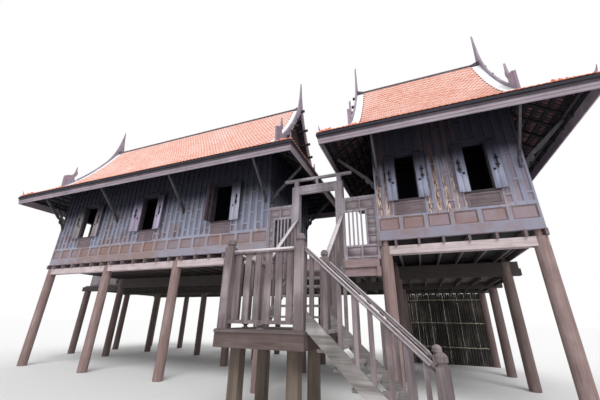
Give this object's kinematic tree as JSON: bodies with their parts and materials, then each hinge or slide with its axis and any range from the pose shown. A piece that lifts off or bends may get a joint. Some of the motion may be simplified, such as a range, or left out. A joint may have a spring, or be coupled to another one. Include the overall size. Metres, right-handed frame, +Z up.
{
  "type": "stilt house",
  "caption": "Twin timber house on tall round posts with steep concave tiled roofs, flared barge boards, a gateway, a rear terrace and a turning stair.",
  "frame": {"origin": "on the ground under the middle of the whole house, stair and terrace included", "axes": "+Z up; +X along the front to the right, from the long house to the short house; +Y into the depth, from the stair to the terrace"},
  "size_m": [19.01, 10.64, 10.46],
  "materials": {
    "painted_posts": "old matt paint",
    "pale_beams": "weathered, pale",
    "dark_walls": "weathered, dark",
    "wall_stiles": "weathered, bluish",
    "grey_trim": "faded grey paint",
    "stair_wood": "weathered, grey brown",
    "underside_wood": "rough, dark",
    "shutter_paint": "faded grey paint",
    "screen_logs": "rough, dark",
    "white_plaster": "matt, streaked",
    "roof_tiles": "matt, weathered"
  },
  "bodies": {
    "root": {"house_posts": "painted_posts", "terrace_posts": "painted_posts", "floor_beams": "pale_beams", "terrace_beams": "pale_beams", "passage_beams": "stair_wood", "floor_joists": "underside_wood", "terrace_joists": "underside_wood", "house_floors": "underside_wood", "terrace_deck": "stair_wood", "riser_boards": "dark_walls", "left_front_wall": "dark_walls", "left_back_wall": "dark_walls", "left_end_walls": "dark_walls", "right_front_wall": "dark_walls", "right_back_wall": "dark_walls", "right_end_walls": "dark_walls", "left_wall_frames": "wall_stiles", "right_wall_frames": "wall_stiles", "window_frames": "grey_trim", "window_aprons": "dark_walls", "window_shutters": "shutter_paint", "gables": "dark_walls", "left_main_roof": "roof_tiles", "right_main_roof": "roof_tiles", "left_skirt_roof": "roof_tiles", "right_skirt_roof": "roof_tiles", "fascias": "grey_trim", "ridge_caps": "grey_trim", "verge_bands": "white_plaster", "left_barge_boards": "grey_trim", "right_barge_boards": "grey_trim", "roof_purlins": "underside_wood", "eave_purlins": "underside_wood", "roof_trusses": "underside_wood", "skirt_rafters": "underside_wood", "eave_struts": "grey_trim", "gate_frame": "stair_wood", "gate_side_panels": "dark_walls", "terrace_parapets": "dark_walls", "log_screen": "screen_logs", "landing_legs": "painted_posts", "landing_frame": "stair_wood", "landing_deck": "stair_wood", "stair_newels": "stair_wood", "landing_balustrade": "stair_wood", "stair_stringers": "stair_wood", "stair_treads": "stair_wood", "stair_rails": "stair_wood"}
  },
  "joints": []
}
